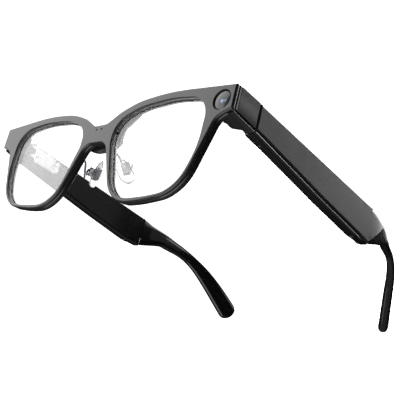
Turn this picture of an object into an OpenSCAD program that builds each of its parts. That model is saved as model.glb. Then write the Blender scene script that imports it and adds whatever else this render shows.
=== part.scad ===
// Display smart glasses: a satin black front with a camera window, clear lenses over
// waveguides, a light engine behind the bridge, electronic temples and curved ear tips.
// Frame: origin at the centre of the bridge's flat front face, +Z up, the front looks
// along -Y, the temples run to +Y, and +X is the wearer's left.

/* [Front] */
// Height of the straight outer end of the front
corner_z = 11.4; // [11:0.1:11.6]
// Half of the front's width
half_w = 73.1; // [72.8:0.1:73.3]
// Thickness of the front cover
cover_t = 1.3; // [1.1:0.1:1.4]
// Gap between the front cover and the rear frame
seam = 0.25; // [0.2:0.05:0.4]
// Depth of the front, cover and rear frame together
front_d = 4.3; // [4.1:0.1:4.8]

/* [Optics] */
// Thickness of each outer lens
lens_t = 1.0; // [0.8:0.1:1.0]
// Thickness of each waveguide
guide_t = 0.8; // [0.6:0.1:0.8]
// How far the lenses reach into their groove
lens_grip = 0.5; // [0.4:0.1:0.6]
// Diameter of the camera window's hole
window_d = 8.2; // [8:0.1:8.6]

/* [Temples] */
// Length of the straight shell, measured from the front's face
shell_end = 98; // [97:0.5:99]
// Thickness of a temple from its inner to its outer face
temple_t = 5.7; // [5.5:0.1:6]
// Outward splay of the temples in degrees
splay = 1.4; // [1.2:0.1:1.6]
// Wall thickness of the temple shells
wall = 1.0; // [0.9:0.1:1.1]
// Height of the ear tip's section where it leaves the shell
tip_h = 9; // [8.6:0.1:9.2]
// Thickness of the ear tip's section
tip_w = 5.4; // [5.2:0.1:5.6]

/* [Hinges] */
// Radius of the hinge pins
pin_r = 0.7; // [0.6:0.05:0.8]
// Running clearance of the temple knuckle on its pin
pin_gap = 0.06; // [0.04:0.01:0.1]
// Outer radius of the knuckles
knuckle_r = 1.7; // [1.6:0.1:1.8]

/* [Nose pads] */
// Length of a nose pad
pad_l = 13; // [12.5:0.5:14]
// Width of a nose pad
pad_w = 7.6; // [7:0.2:8]
// Thickness of a nose pad
pad_t = 2.6; // [2.4:0.1:2.8]

/* [Hidden] */
$fn = 48;
eps = 0.01;

// ---- depths of the front's layers
frame_y = cover_t + seam;
lens_y = frame_y + 0.05;
guide_y = lens_y + lens_t + 0.05;
pocket_y = guide_y + guide_t + 0.05;
housing_y = 8.4;
block_y = 2.9;
gap_y = 13.4;

// ---- the camera window's centre on the front
cam_x = 67.2;
cam_z = 5.5;

// ---- hinge axis of the left temple, and the temple's outer face at the gap
hinge_x = 67.3;
hinge_y = 13.5;
side_x = 74.3;

// ---- finishes
satin = [0.16, 0.16, 0.17];
gloss = [0.04, 0.04, 0.045];
steel = [0.75, 0.75, 0.77];
clear = [0.85, 0.9, 0.95, 0.35];
board = [0.05, 0.3, 0.15];

// ---------------------------------------------------------------- outline helpers
function unit(v) = v / norm(v);

// One rounded corner: an arc of radius r that touches both sides of the corner at b.
function corner(a, b, c, r) =
    let (u = unit([a.x - b.x, a.y - b.y]), v = unit([c.x - b.x, c.y - b.y]),
         half = acos(u * v) / 2,
         reach = r / tan(half),
         mid = b2(b) + unit(u + v) * (r / sin(half)),
         p = b2(b) + u * reach, q = b2(b) + v * reach,
         from = atan2(p.y - mid.y, p.x - mid.x),
         turn = wrap(atan2(q.y - mid.y, q.x - mid.x) - from),
         steps = max(2, ceil(abs(turn) / 7)))
    [for (i = [0:steps]) mid + r * [cos(from + turn * i / steps), sin(from + turn * i / steps)]];
function b2(p) = [p.x, p.y];
function wrap(a) = a > 180 ? a - 360 : a < -180 ? a + 360 : a;

// A closed outline through corners [x, y, radius]; a radius of 0 keeps the corner sharp.
function rounded(pts) =
    let (n = len(pts))
    [for (i = [0:n - 1]) for (p = pts[i][2] > 0
        ? corner(pts[(i + n - 1) % n], pts[i], pts[(i + 1) % n], pts[i][2])
        : [b2(pts[i])]) p];

// The mirror image of a list of corners, in reverse order so that the outline closes.
function mirrored(pts) = [for (i = [len(pts) - 1:-1:0]) [-pts[i].x, pts[i].y, pts[i][2]]];

// ---------------------------------------------------------------- outlines
// Right half of the browline, the end, the rim and the nose arch, as seen from behind.
front_half = [
    [4.0, 4.4, 6], [11.3, 8.8, 15], [20.5, 12.2, 42], [38, 14.1, 120],
    [half_w, corner_z, 0.8], [half_w, 1.2, 0.7], [66.2, -1.2, 5.5],
    [55.9, -29.8, 18], [35.5, -32.5, 80], [18.7, -32.5, 17], [6.4, -4.4, 5.5]];
lens_corners = [
    [10.2, 4.1, 9.5], [22.9, 9.2, 38], [41.3, 10.3, 55], [60.5, 7.9, 10], [60.4, -12.6, 30],
    [53.8, -28.6, 15], [38.3, -30.5, 80], [18.9, -30.8, 15.5], [10.1, -5.0, 8]];
lens_mid = [35.3, -10.2];
lens_half = [25.2, 20.4];

// The lens opening, grown by g on every side.
function lens_outline(g) = rounded([for (p = lens_corners)
    [lens_mid.x + (p.x - lens_mid.x) * (1 + g / lens_half.x),
     lens_mid.y + (p.y - lens_mid.y) * (1 + g / lens_half.y), p[2] + g]]);

module front_outline() polygon(rounded(concat(front_half, mirrored(front_half))));

// ---------------------------------------------------------------- placing helpers
// Extrudes an outline drawn in X and Z from depth y0 to depth y1.
module plate(y0, y1) translate([0, y1, 0]) rotate([90, 0, 0]) linear_extrude(y1 - y0) children();

// Extrudes an outline drawn in Y and Z from x0 to x1.
module slab(x0, x1) translate([x0, 0, 0]) rotate([90, 0, 90]) linear_extrude(x1 - x0) children();

// Draws on the wearer's left or, mirrored, on the right.
module on_side(left) mirror([left ? 0 : 1, 0, 0]) children();

// The temple's own frame: X = 0 is its outer face, Y runs along it.
module on_temple() translate([side_x, gap_y, 0]) rotate([0, 0, -splay])
    translate([0, -gap_y, 0]) children();

// ---------------------------------------------------------------- front
module lens_cut(left, g) on_side(left) polygon(lens_outline(g));

module front_cover() color(satin) difference() {
    plate(0, cover_t) difference() {
        front_outline();
        for (left = [true, false]) lens_cut(left, 0);
    }
    translate([cam_x, -1, cam_z]) rotate([-90, 0, 0]) cylinder(d = window_d, h = 3);
    for (x = [-1.6, 1.6]) translate([x, -1, 2]) rotate([-90, 0, 0]) cylinder(d = 0.8, h = 3);
}

module front_gasket() color(gloss) difference() {
    plate(cover_t, frame_y) difference() {
        offset(delta = -0.55) front_outline();
        for (left = [true, false]) lens_cut(left, 0.75);
    }
    translate([cam_x, 0, cam_z]) rotate([-90, 0, 0]) cylinder(d = window_d + 0.2, h = 3);
    translate([0, 0, 2]) rotate([-90, 0, 0]) cylinder(d = 5, h = 3);
}

// Plan of the end piece behind the front's outer end, and its side view.
block_plan = [[62.5, front_d - 0.5, 0], [62.5, frame_y, 0], [71.5, frame_y, 0], [71.6, block_y, 0],
    [side_x - 1.2, gap_y - 0.4, 0], [70.0, gap_y - 0.4, 0.4], [69.4, 11.2, 0.4], [65.6, 10.6, 2],
    [64.2, front_d + 2, 4]];
block_side = [[frame_y, corner_z - 0.5, 0], [gap_y, 9.4, 0], [gap_y, -2.3, 0], [frame_y, 0.3, 0]];

module end_block() intersection() {
    linear_extrude(40, center = true) polygon(rounded(block_plan));
    slab(50, 80) polygon(rounded(block_side));
}

// The ledge under the satin end cover: the lit lower edge that runs on along the temple.
module end_ledge() intersection() {
    linear_extrude(40, center = true)
        polygon([[70, frame_y], [half_w - 0.1, frame_y], [side_x, gap_y - 0.4], [70, gap_y - 0.4]]);
    slab(60, 80) polygon([[frame_y, 0.9], [gap_y, -1.6], [gap_y, -2.3], [frame_y, 0.3]]);
}

module rear_frame() color(satin) difference() {
    union() {
        plate(frame_y, front_d) front_outline();
        for (left = [true, false]) on_side(left) {
            end_block();
            end_ledge();
        }
    }
    for (left = [true, false]) {
        plate(0, pocket_y) lens_cut(left, lens_grip + 0.05);
        plate(0, front_d + 1) lens_cut(left, 0);
        on_side(left) end_cavity();
        on_side(left) end_cover_seat();
        on_side(left) hinge_seat();
    }
    plate(front_d - 1.6, front_d + 1) polygon(rounded(
        [[-6.4, -1.2, 1], [6.4, -1.2, 1], [6.4, 3.4, 1], [-6.4, 3.4, 1]]));
    translate([0, 0, 2]) rotate([-90, 0, 0]) cylinder(d = 5, h = 3);
    translate([cam_x, 1, cam_z]) rotate([-90, 0, 0]) cylinder(d = window_d + 0.2, h = 1.6);
}

// Room inside each end piece for the camera on one side and the hinge screws on the other.
module end_cavity() translate([cam_x, frame_y - 1, cam_z - 0.4]) rotate([-90, 0, 0])
    cylinder(d = 6.4, h = 7.6);

// Seats of the satin end cover and of the hinge knuckles' leaves.
module end_cover_seat() intersection() {
    linear_extrude(40, center = true) polygon([[71.65, block_y], [80, block_y], [80, gap_y],
        [side_x - 1.2, gap_y]]);
    slab(60, 80) polygon([[block_y, 20], [gap_y, 20], [gap_y, -0.62], [block_y, 1.3]]);
}
module hinge_seat() translate([hinge_x - knuckle_r - 0.05, 10.7, hinge_z - barrel_h / 2 - 0.05])
    cube([2 * knuckle_r + 0.1, 6, barrel_h + 0.1]);

module lens(left) color(clear) plate(lens_y, lens_y + lens_t) lens_cut(left, lens_grip);

module waveguide(left) color([0.8, 0.95, 0.85, 0.35])
    plate(guide_y, guide_y + guide_t) lens_cut(left, lens_grip);

// Housing behind the bridge: wide at the frame, narrower at its back.
housing_plan = [[-17.5, front_d, 0], [17.5, front_d, 0], [13.4, housing_y - 1.2, 3],
    [11.8, housing_y, 1], [-11.8, housing_y, 1], [-13.4, housing_y - 1.2, 3]];
housing_face = [[4.0, 4.6, 5], [10.8, 8.6, 6], [17.5, 11.2, 0], [17.5, 9.9, 0], [12.6, 5.0, 6],
    [11.4, -2.4, 2], [6.4, -6.0, 2]];

module housing_body(g) intersection() {
    linear_extrude(40, center = true) polygon(rounded([for (p = housing_plan)
        [p.x * (1 - g / 14), p.y - (p.y > front_d ? g : 0), p[2]]]));
    plate(0, 20) polygon(rounded(concat(housing_face, mirrored(housing_face))));
}

module engine_housing() color(satin) difference() {
    housing_body(0);
    plate(front_d - 1, housing_y - 1) polygon(rounded(
        [[-8.6, -3.6, 1], [8.6, -3.6, 1], [8.6, 3.2, 1], [-8.6, 3.2, 1]]));
}

module light_engine() color(steel) {
    plate(front_d - 1.4, housing_y - 1.3) polygon(rounded(
        [[-6.1, -1.0, 0.6], [6.1, -1.0, 0.6], [6.1, 2.9, 0.6], [-6.1, 2.9, 0.6]]));
    for (x = [-7.2, 5.0]) plate(front_d + 0.2, housing_y - 1.6)
        polygon([[x, -3.2], [x + 2.2, -3.2], [x + 2.2, -1.0], [x, -1.0]]);
}

module light_sensor() color(gloss) translate([0, cover_t + 0.05, 2]) rotate([-90, 0, 0]) {
    cylinder(d = 4.6, h = 0.9);
    for (x = [-1.6, 1.6]) translate([x, 0, -0.9]) cylinder(d = 0.7, h = 1);
}

// ---------------------------------------------------------------- camera
module camera_window() color([0.25, 0.27, 0.3]) intersection() {
    translate([cam_x, 0, cam_z]) rotate([-90, 0, 0]) cylinder(d = window_d - 0.3, h = 1.7);
    translate([cam_x, 14, cam_z]) sphere(r = 14, $fn = 120);
}

module camera_barrel() color(gloss) translate([cam_x, 1.75, cam_z - 0.4]) rotate([-90, 0, 0])
    difference() {
        cylinder(d = 6.2, h = 4.2);
        translate([0, 0, -1]) cylinder(d = 3.2, h = 2.2);
    }

module camera_board() color(board) translate([cam_x, 6.0, cam_z - 0.4]) rotate([-90, 0, 0])
    cylinder(d = 6.2, h = 1.0);

// ---------------------------------------------------------------- end covers
module end_cover(left) on_side(left) color(satin) intersection() {
    linear_extrude(40, center = true) polygon([[71.7, block_y + 0.05], [half_w + 0.05, block_y + 0.05],
        [side_x, gap_y - 0.4], [side_x - 1.15, gap_y - 0.4]]);
    slab(60, 80) polygon(rounded([[block_y, corner_z - 0.3, 0.4], [gap_y - 0.4, 9.6, 0.2],
        [gap_y - 0.4, -0.5, 0.2], [block_y, 1.4, 0.2]]));
}

// ---------------------------------------------------------------- nose pads
pad_at = [9.2, 12.4, -12.7];

// The pad's own frame: Z along the pad, X away from the nose.
module on_pad() translate(pad_at) rotate([28, 0, 0]) rotate([0, 0, -25]) rotate([0, -32, 0]) children();

module pad_shape(l, w, t) intersection() {
    rotate([0, 90, 0]) linear_extrude(10, center = true) polygon(rounded(
        [[-l / 2, -w / 2, w * 0.46], [-l / 2, w / 2, w * 0.46],
         [l / 2, w / 2, w * 0.46], [l / 2, -w / 2, w * 0.46]]));
    translate([30 - t / 2, 0, 0]) sphere(r = 30, $fn = 300);
    translate([t / 2 - 24, 0, 0]) sphere(r = 24, $fn = 300);
}

module nose_pad(left) on_side(left) on_pad() color(clear) difference() {
    pad_shape(pad_l, pad_w, pad_t);
    translate([0.15, -1.55, -2.55]) cube([5, 3.1, 5.1]);
}

// The pad rocks on a cross pin through its box.
pad_pivot = 2.2;
pad_pin_r = 0.4;
pin_l = 3.2;

module pad_core(left) on_side(left) on_pad() color(steel) {
    translate([0.2, -1.5, -2.5]) cube([0.8, 3, 5]);
    translate([0.9, -0.5, -0.8]) cube([1.9, 1, 1.6]);
    translate([pad_pivot, -pin_l / 2, 0]) rotate([-90, 0, 0]) cylinder(r = pad_pin_r, h = pin_l);
}

// The wire arm: a bent wire from the rim's rear face to the small box behind the pad. Its
// first and last points only steer the curve.
arm_path = [[11.3, 2, -9.6], [11.2, front_d, -8.8], [11.3, 6.2, -9.6], [12.6, 8.0, -12.6],
    [13.9, 9.6, -14.6], [14.8, 10.8, -13.2], [14.6, 10.8, -11.0], [13.6, 11.4, -10.2],
    [12.6, 12.0, -10.6]];
wire_r = 0.5;
function arm_at(i, t) = curve(arm_path[i], arm_path[i + 1], arm_path[i + 2], arm_path[i + 3], t);
function arm_ring(i, t) =
    let (d = unit(arm_at(i, t + 0.02) - arm_at(i, t - 0.02)), u = unit(cross(d, [1, 0.2, 0.1])),
         v = cross(d, u))
    [for (k = [0:7]) arm_at(i, t) + wire_r * (u * cos(45 * k) + v * sin(45 * k))];
module pad_arm(left) on_side(left) color(steel)
    tube(concat([for (i = [0:len(arm_path) - 4]) for (t = [0:0.25:0.99]) arm_ring(i, t)],
        [arm_ring(len(arm_path) - 4, 1)]));

// The box that holds the pad's stud with room for the pad to rock.
module pad_box(left) on_side(left) on_pad() color(steel) difference() {
    translate([1.5, -1.6, -2.0]) cube([2.1, 3.2, 4.2]);
    translate([1, -0.75, -1.3]) cube([2.1, 1.5, 2.6]);
    translate([pad_pivot, -2, 0]) rotate([-90, 0, 0]) cylinder(r = pad_pin_r + pin_gap, h = 4);
}

// ---------------------------------------------------------------- hinges
hinge_z = 4.0;
barrel_h = 6.4;
barrel_gap = 0.12;
mid_h = 2.6;

module hinge_front(left) on_side(left) color(steel) for (s = [-1, 1]) difference() {
    z0 = hinge_z + (s > 0 ? mid_h / 2 + barrel_gap : -barrel_h / 2);
    z1 = hinge_z + (s > 0 ? barrel_h / 2 : -mid_h / 2 - barrel_gap);
    union() {
        translate([hinge_x, hinge_y, z0]) cylinder(r = knuckle_r, h = z1 - z0);
        translate([hinge_x - knuckle_r, 10.75, z0]) cube([2 * knuckle_r, hinge_y - 10.75, z1 - z0]);
    }
    translate([hinge_x, hinge_y, z0 - 1]) cylinder(r = pin_r, h = z1 - z0 + 2);
}

module hinge_pin(left) on_side(left) color(steel) translate([hinge_x, hinge_y, 0]) {
    translate([0, 0, hinge_z - barrel_h / 2]) cylinder(r = pin_r, h = barrel_h);
    difference() {
        translate([0, 0, hinge_z + barrel_h / 2]) cylinder(r = 1.2, h = 0.5);
        translate([-0.15, -2, hinge_z + barrel_h / 2 + 0.25]) cube([0.3, 4, 1]);
    }
}

module hinge_temple(left) on_side(left) color(steel) {
    difference() {
        union() {
            translate([hinge_x, hinge_y, hinge_z - mid_h / 2]) cylinder(r = knuckle_r, h = mid_h);
            on_temple() slab(-temple_t - 1.3, -temple_t - 0.02) polygon([[15.4, hinge_z - mid_h / 2],
                [17, hinge_z - mid_h / 2], [17, hinge_z + mid_h / 2], [15.4, hinge_z + mid_h / 2]]);
            translate([hinge_x - 0.1, hinge_y, hinge_z - mid_h / 2]) cube([1.2, 2.6, mid_h]);
        }
        translate([hinge_x, hinge_y, 0]) cylinder(r = pin_r + pin_gap, h = 20);
    }
    on_temple() difference() {
        slab(-temple_t - 0.9, -temple_t - 0.02) polygon(rounded(
            [[16, hinge_z - 3.6, 0.4], [31, hinge_z - 4.6, 3.4],
             [31, hinge_z + 2.6, 3.4], [16, hinge_z + 3.8, 0.4]]));
        translate([-temple_t - 2, 27.6, hinge_z - 0.9]) rotate([0, 90, 0]) cylinder(r = 1.55, h = 3);
    }
}

module hinge_screw(left) on_side(left) color(steel) on_temple()
    translate([-temple_t - 0.85, 27.6, hinge_z - 0.9]) rotate([0, 90, 0]) difference() {
        cylinder(r = 1.5, h = 0.83);
        translate([0, 0, -0.1]) cylinder(r = 0.75, h = 0.45, $fn = 6);
    }

// ---------------------------------------------------------------- temples
// Side view of the temple: top and bottom lines, then the step to the ear tip's root.
function temple_top(y) = 11.2 - 0.09 * y;
temple_corners = [
    [gap_y + 0.2, temple_top(gap_y), 0.4], [shell_end, temple_top(shell_end), 0.3],
    [shell_end, -14.6, 0.3], [88, -14.3, 20], [60, -10.3, 90], [gap_y + 0.2, -2.5, 0.4]];
// The inner face of the shell, set in from its top and bottom edges.
inner_corners = [
    [gap_y + 0.2, temple_top(gap_y) - 0.4, 0.4], [shell_end, temple_top(shell_end) - 0.4, 0.3],
    [shell_end, -13.8, 0.3], [88, -13.5, 20], [60, -9.5, 90], [gap_y + 0.2, -1.7, 0.4]];
inner_step = 0.9;
lip = 1.9;
// The satin cover stops above the lower ledge.
cover_corners = [
    [gap_y + 0.2, temple_top(gap_y), 0.4], [shell_end, temple_top(shell_end), 0.3],
    [shell_end, -14.0, 0.3], [89, -12.6, 8], [60, -8.4, 90], [gap_y + 0.2, -0.6, 0.4]];
// The narrow ledge below the cover, which carries the lit line along the lower edge.
ledge_corners = [[gap_y + 0.2, -1.4], [60, -9.2], [88, -13.3], [93.5, -14.3], [88, -14.1],
    [60, -10.0], [gap_y + 0.2, -2.2]];
cavity_corners = [
    [17.5, temple_top(17.5) - wall, 0.5], [86, temple_top(86) - wall, 0.5],
    [86, -11.2, 0.5], [60, -8.0, 40], [17.5, -0.8, 0.5]];

module temple_outer(left) on_side(left) color(satin)
    on_temple() slab(-wall, 0) polygon(rounded(cover_corners));

module temple_inner(left) on_side(left) color(gloss) difference() {
    on_temple() union() {
        slab(inner_step - temple_t, -wall - 0.05) polygon(rounded(temple_corners));
        slab(-temple_t, inner_step - temple_t + eps) polygon(rounded(inner_corners));
        slab(-wall - 0.1, -0.05) polygon(ledge_corners);
    }
    on_temple() slab(-temple_t + wall, 1) polygon(rounded(cavity_corners));
    translate([hinge_x, hinge_y, -20]) cylinder(r = knuckle_r + 0.5, h = 40);
    on_temple() core_bore();
    on_temple() speaker_port(0.05);
    on_temple() mic_port(0.05);
    if (!left) button_well();
    if (!left) on_temple() contacts_cut();
}

// ---------------------------------------------------------------- ear tips
// Centre line of the left ear tip, from the shell to its end; the first and the last
// points only steer the curve.
tip_path = [[73.06, shell_end - 7.85, -3.4], [73.5, shell_end + 0.15, -2.5], [73.5, 107, -3.4],
    [72.5, 117, -4.6], [71.1, 124, -5.8], [69.3, 131, -7.2], [66.9, 138, -9.8], [63.8, 145, -14.0],
    [60.0, 152, -19.9], [56.2, 159, -26.7], [52.8, 165.2, -33.2], [49.8, 170.5, -39]];
tip_sides = 20;
// How far along the path the tip's rounded end starts, and that end's length.
tip_end = 9;
tip_cap = 4.6;
// How much deeper the tip is where it leaves the shell, and how far that reaches.
root_drop = 7.6;
root_run = 2.1;
// The tip narrows behind the ear and widens again to a paddle at its end.
waist_at = 4.6;
waist_run = 1.9;
waist_h = 2.2;
waist_w = 1.2;
paddle_h = 2.2;
function waist(s) = exp(-pow((s - waist_at) / waist_run, 2));
function paddle(s) = let (t = max(0, min(1, (s - 5) / 4))) t * t * (3 - 2 * t);
function drop_at(s) = root_drop * pow(1 - pow(max(0, min(1, s / root_run)), 1.4), 1.3);

// A smooth curve through four neighbouring points, at t from 0 to 1 between the middle two.
function curve(a, b, c, d, t) = 0.5 * (2 * b + (c - a) * t
    + (2 * a - 5 * b + 4 * c - d) * t * t + (3 * b - a - 3 * c + d) * t * t * t);
function path_at(s) =
    let (n = len(tip_path) - 3, i = max(0, min(n - 1, floor(s))), t = s - i)
    curve(tip_path[i], tip_path[i + 1], tip_path[i + 2], tip_path[i + 3], t);
function path_dir(s) = unit(path_at(s + 0.02) - path_at(s - 0.02));

// A point of the tip's oval section at path position s and angle a (0 is outwards, 90 is
// down), grown by g and scaled by k.
function section(s, a, g, k) =
    let (d = path_dir(s), n = unit([d.y, -d.x, 0]), m = cross(d, n),
         w = (tip_w - waist_w * waist(s)) / 2 + g,
         h = (tip_h - waist_h * waist(s) + paddle_h * paddle(s)) / 2 + g,
         drop = a < 180 ? drop_at(s) : 0,
         cx = sign(cos(a)) * pow(abs(cos(a)), 0.7), cy = sign(sin(a)) * pow(abs(sin(a)), 0.7))
    k * (n * cx * w + m * cy * (h + drop));
function ring(s, g, k, shift) = [for (i = [0:tip_sides - 1])
    path_at(s) + path_dir(s) * shift + section(s, 360 * i / tip_sides, g, k)];
function tip_rings() = concat([for (s = [0:0.3:tip_end + eps]) ring(s, 0, 1, 0)],
    [for (a = [15:15:75]) ring(tip_end, 0, cos(a), tip_cap * sin(a))]);

// A closed tube through rings of equal size, with flat ends.
module tube(rings) {
    n = len(rings);
    k = len(rings[0]);
    polyhedron(
        points = [for (r = rings) for (p = r) p],
        faces = concat(
            [[for (i = [k - 1:-1:0]) i]],
            [[for (i = [0:k - 1]) (n - 1) * k + i]],
            [for (j = [0:n - 2]) for (i = [0:k - 1])
                let (a = j * k + i, b = j * k + (i + 1) % k) [a, b, b + k]],
            [for (j = [0:n - 2]) for (i = [0:k - 1])
                let (a = j * k + i, b = j * k + (i + 1) % k) [a, b + k, a + k]]));
}

module ear_tip(left) on_side(left) color(gloss) tube(tip_rings());

// The steel core: a straight tang in the shell's end, on which the ear tip is moulded.
core_r = 0.9;
module core_bore() translate([-temple_t / 2, 88, -1.9]) rotate([-90, 0, 0])
    cylinder(r = core_r + 0.03, h = 20);
module tip_core(left) on_side(left) color(steel) on_temple()
    translate([-temple_t / 2, 88.2, -1.9]) rotate([-90, 0, 0]) cylinder(r = core_r, h = shell_end - 88.2);

// ---------------------------------------------------------------- inside the temples
module temple_box(x0, x1, y0, y1, z0, z1, dz) slab(x0, x1)
    polygon([[y0, z0], [y1, z0 + dz], [y1, z1 + dz], [y0, z1]]);

module battery(left) on_side(left) color([0.7, 0.72, 0.75]) on_temple()
    temple_box(-temple_t + wall + 0.1, -wall - 0.35, 48, 80, -5.6, 4.4, -3.8);

module main_board() on_side(false) color(board) on_temple()
    temple_box(-temple_t + wall + 0.4, -wall - 1.6, 19, 46.5, -0.6, 6.8, -2.6);

module sensor_board() on_side(true) color(board) on_temple()
    temple_box(-temple_t + wall + 0.4, -wall - 1.6, 19, 46.5, -0.6, 6.8, -2.6);

module speaker(left) on_side(left) color(steel) on_temple()
    temple_box(-temple_t + wall + 0.2, -wall - 0.5, 81, 85.5, -9.6, -2.2, -0.5);

// Sound slot on the underside near the rear corner of the shell.
module speaker_port(g) translate([-3.6 - g, 84 - g, -16]) cube([1.6 + 2 * g, 6 + 2 * g, 3]);
module speaker_grille(left) on_side(left) color(steel) on_temple() intersection() {
    speaker_port(0);
    slab(-10, 0) polygon([[80, -12.9], [95, -15.0], [95, -14.0], [80, -11.9]]);
}

// Microphone hole on the underside near the hinge.
module mic_port(g) translate([-3.2, 21, -6]) cylinder(r = 0.8 + g, h = 3.2);
module mic_mesh(left) on_side(left) color(steel) on_temple() intersection() {
    mic_port(0);
    slab(-10, 0) polygon([[15, -2.5], [30, -5.05], [30, -4.4], [15, -1.85]]);
}

// Capture button on the top of the right temple, with its travel below it.
button_y = 30;
module button_shape(g, drop) on_side(true) on_temple() slab(-4.2 - g, -1.8 + g) polygon(rounded(
    [[button_y - 4.5 - g, temple_top(button_y - 4.5) + 0.35 + g, 0.3],
     [button_y + 4.5 + g, temple_top(button_y + 4.5) + 0.35 + g, 0.3],
     [button_y + 4.5 + g, temple_top(button_y + 4.5) - 0.9 - drop, 0.2],
     [button_y - 4.5 - g, temple_top(button_y - 4.5) - 0.9 - drop, 0.2]]));
module button_well() button_shape(0.1, 2);
module capture_button() on_side(false) color([0.3, 0.3, 0.32]) button_shape(0, 0);

// Two charging contacts on the inner face of the right temple.
contact_y = [88, 91];
module contacts_cut() for (y = contact_y) translate([-temple_t - 1, y, -9]) rotate([0, 90, 0])
    cylinder(r = 0.95, h = 1.6);
module charging_contacts() on_side(false) color([0.85, 0.7, 0.35]) on_temple()
    for (y = contact_y) translate([-temple_t + 0.05, y, -9]) rotate([0, 90, 0]) cylinder(r = 0.9, h = 0.5);

// Flexible touch sensor on the inside of the right temple's outer cover.
module touch_strip() on_side(false) color([0.75, 0.5, 0.2]) on_temple()
    temple_box(-wall - 0.3, -wall - 0.05, 50, 84, -5.0, 3.4, -3.8);

// ---------------------------------------------------------------- the assembly
front_cover();
front_gasket();
rear_frame();
lens(true);  // lens_left
lens(false);  // lens_right
waveguide(true);  // waveguide_left
waveguide(false);  // waveguide_right
engine_housing();
light_engine();
camera_window();
camera_barrel();
camera_board();
light_sensor();
end_cover(true);  // end_cover_left
end_cover(false);  // end_cover_right
pad_arm(true);  // pad_arm_left
pad_arm(false);  // pad_arm_right
pad_box(true);  // pad_box_left
pad_box(false);  // pad_box_right
pad_core(true);  // pad_core_left
pad_core(false);  // pad_core_right
nose_pad(true);  // nose_pad_left
nose_pad(false);  // nose_pad_right
hinge_front(true);  // hinge_front_left
hinge_front(false);  // hinge_front_right
hinge_pin(true);  // hinge_pin_left
hinge_pin(false);  // hinge_pin_right
hinge_temple(true);  // hinge_temple_left
hinge_temple(false);  // hinge_temple_right
hinge_screw(true);  // hinge_screw_left
hinge_screw(false);  // hinge_screw_right
temple_outer(true);  // temple_outer_left
temple_outer(false);  // temple_outer_right
temple_inner(true);  // temple_inner_left
temple_inner(false);  // temple_inner_right
ear_tip(true);  // ear_tip_left
ear_tip(false);  // ear_tip_right
tip_core(true);  // tip_core_left
tip_core(false);  // tip_core_right
battery(true);  // battery_left
battery(false);  // battery_right
main_board();
sensor_board();
speaker(true);  // speaker_left
speaker(false);  // speaker_right
speaker_grille(true);  // speaker_grille_left
speaker_grille(false);  // speaker_grille_right
mic_mesh(true);  // mic_mesh_left
mic_mesh(false);  // mic_mesh_right
capture_button();
charging_contacts();
touch_strip();
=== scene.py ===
"""Display smart glasses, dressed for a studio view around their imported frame.

Every length is written in millimetres and turned to metres once, where a mesh is made.
The origin is the centre of the bridge's flat front face, +Z is up, the front looks along
-Y, the temples run to +Y, and +X is the wearer's left.
"""

import logging
import math
from dataclasses import dataclass
from enum import Enum
from typing import Sequence

import bmesh
import bpy
import numpy as np
from mathutils import Matrix, Vector
from mathutils.geometry import tessellate_polygon


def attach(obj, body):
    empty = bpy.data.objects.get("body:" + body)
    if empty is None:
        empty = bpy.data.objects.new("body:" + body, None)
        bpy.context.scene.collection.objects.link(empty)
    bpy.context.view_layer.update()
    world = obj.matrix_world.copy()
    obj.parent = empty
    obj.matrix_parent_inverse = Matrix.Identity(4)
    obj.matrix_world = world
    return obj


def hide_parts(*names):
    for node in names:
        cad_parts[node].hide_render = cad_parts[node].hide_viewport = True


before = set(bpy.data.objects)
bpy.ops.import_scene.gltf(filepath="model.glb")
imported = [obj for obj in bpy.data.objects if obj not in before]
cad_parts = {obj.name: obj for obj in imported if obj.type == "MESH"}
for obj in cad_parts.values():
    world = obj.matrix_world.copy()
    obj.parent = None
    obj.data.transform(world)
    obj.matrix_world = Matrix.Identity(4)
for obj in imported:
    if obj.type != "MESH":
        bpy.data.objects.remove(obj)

LOG = logging.getLogger("smart_glasses")
MM = 0.001

Point = tuple[float, float]
Place = tuple[float, float, float]
Corner = tuple[float, float, float]  # two coordinates and the radius that rounds it
Profile = Sequence[Point]  # pairs of inset into the material and depth, front to back


class Side(Enum):
    """The wearer's side, with the sign of X there."""

    LEFT = 1
    RIGHT = -1

    @property
    def word(self) -> str:
        """The name used in nodes and bodies."""
        return self.name.lower()

    @property
    def temple(self) -> str:
        """The body that this side's temple rides on."""
        return f"temple_{self.word}"


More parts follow.
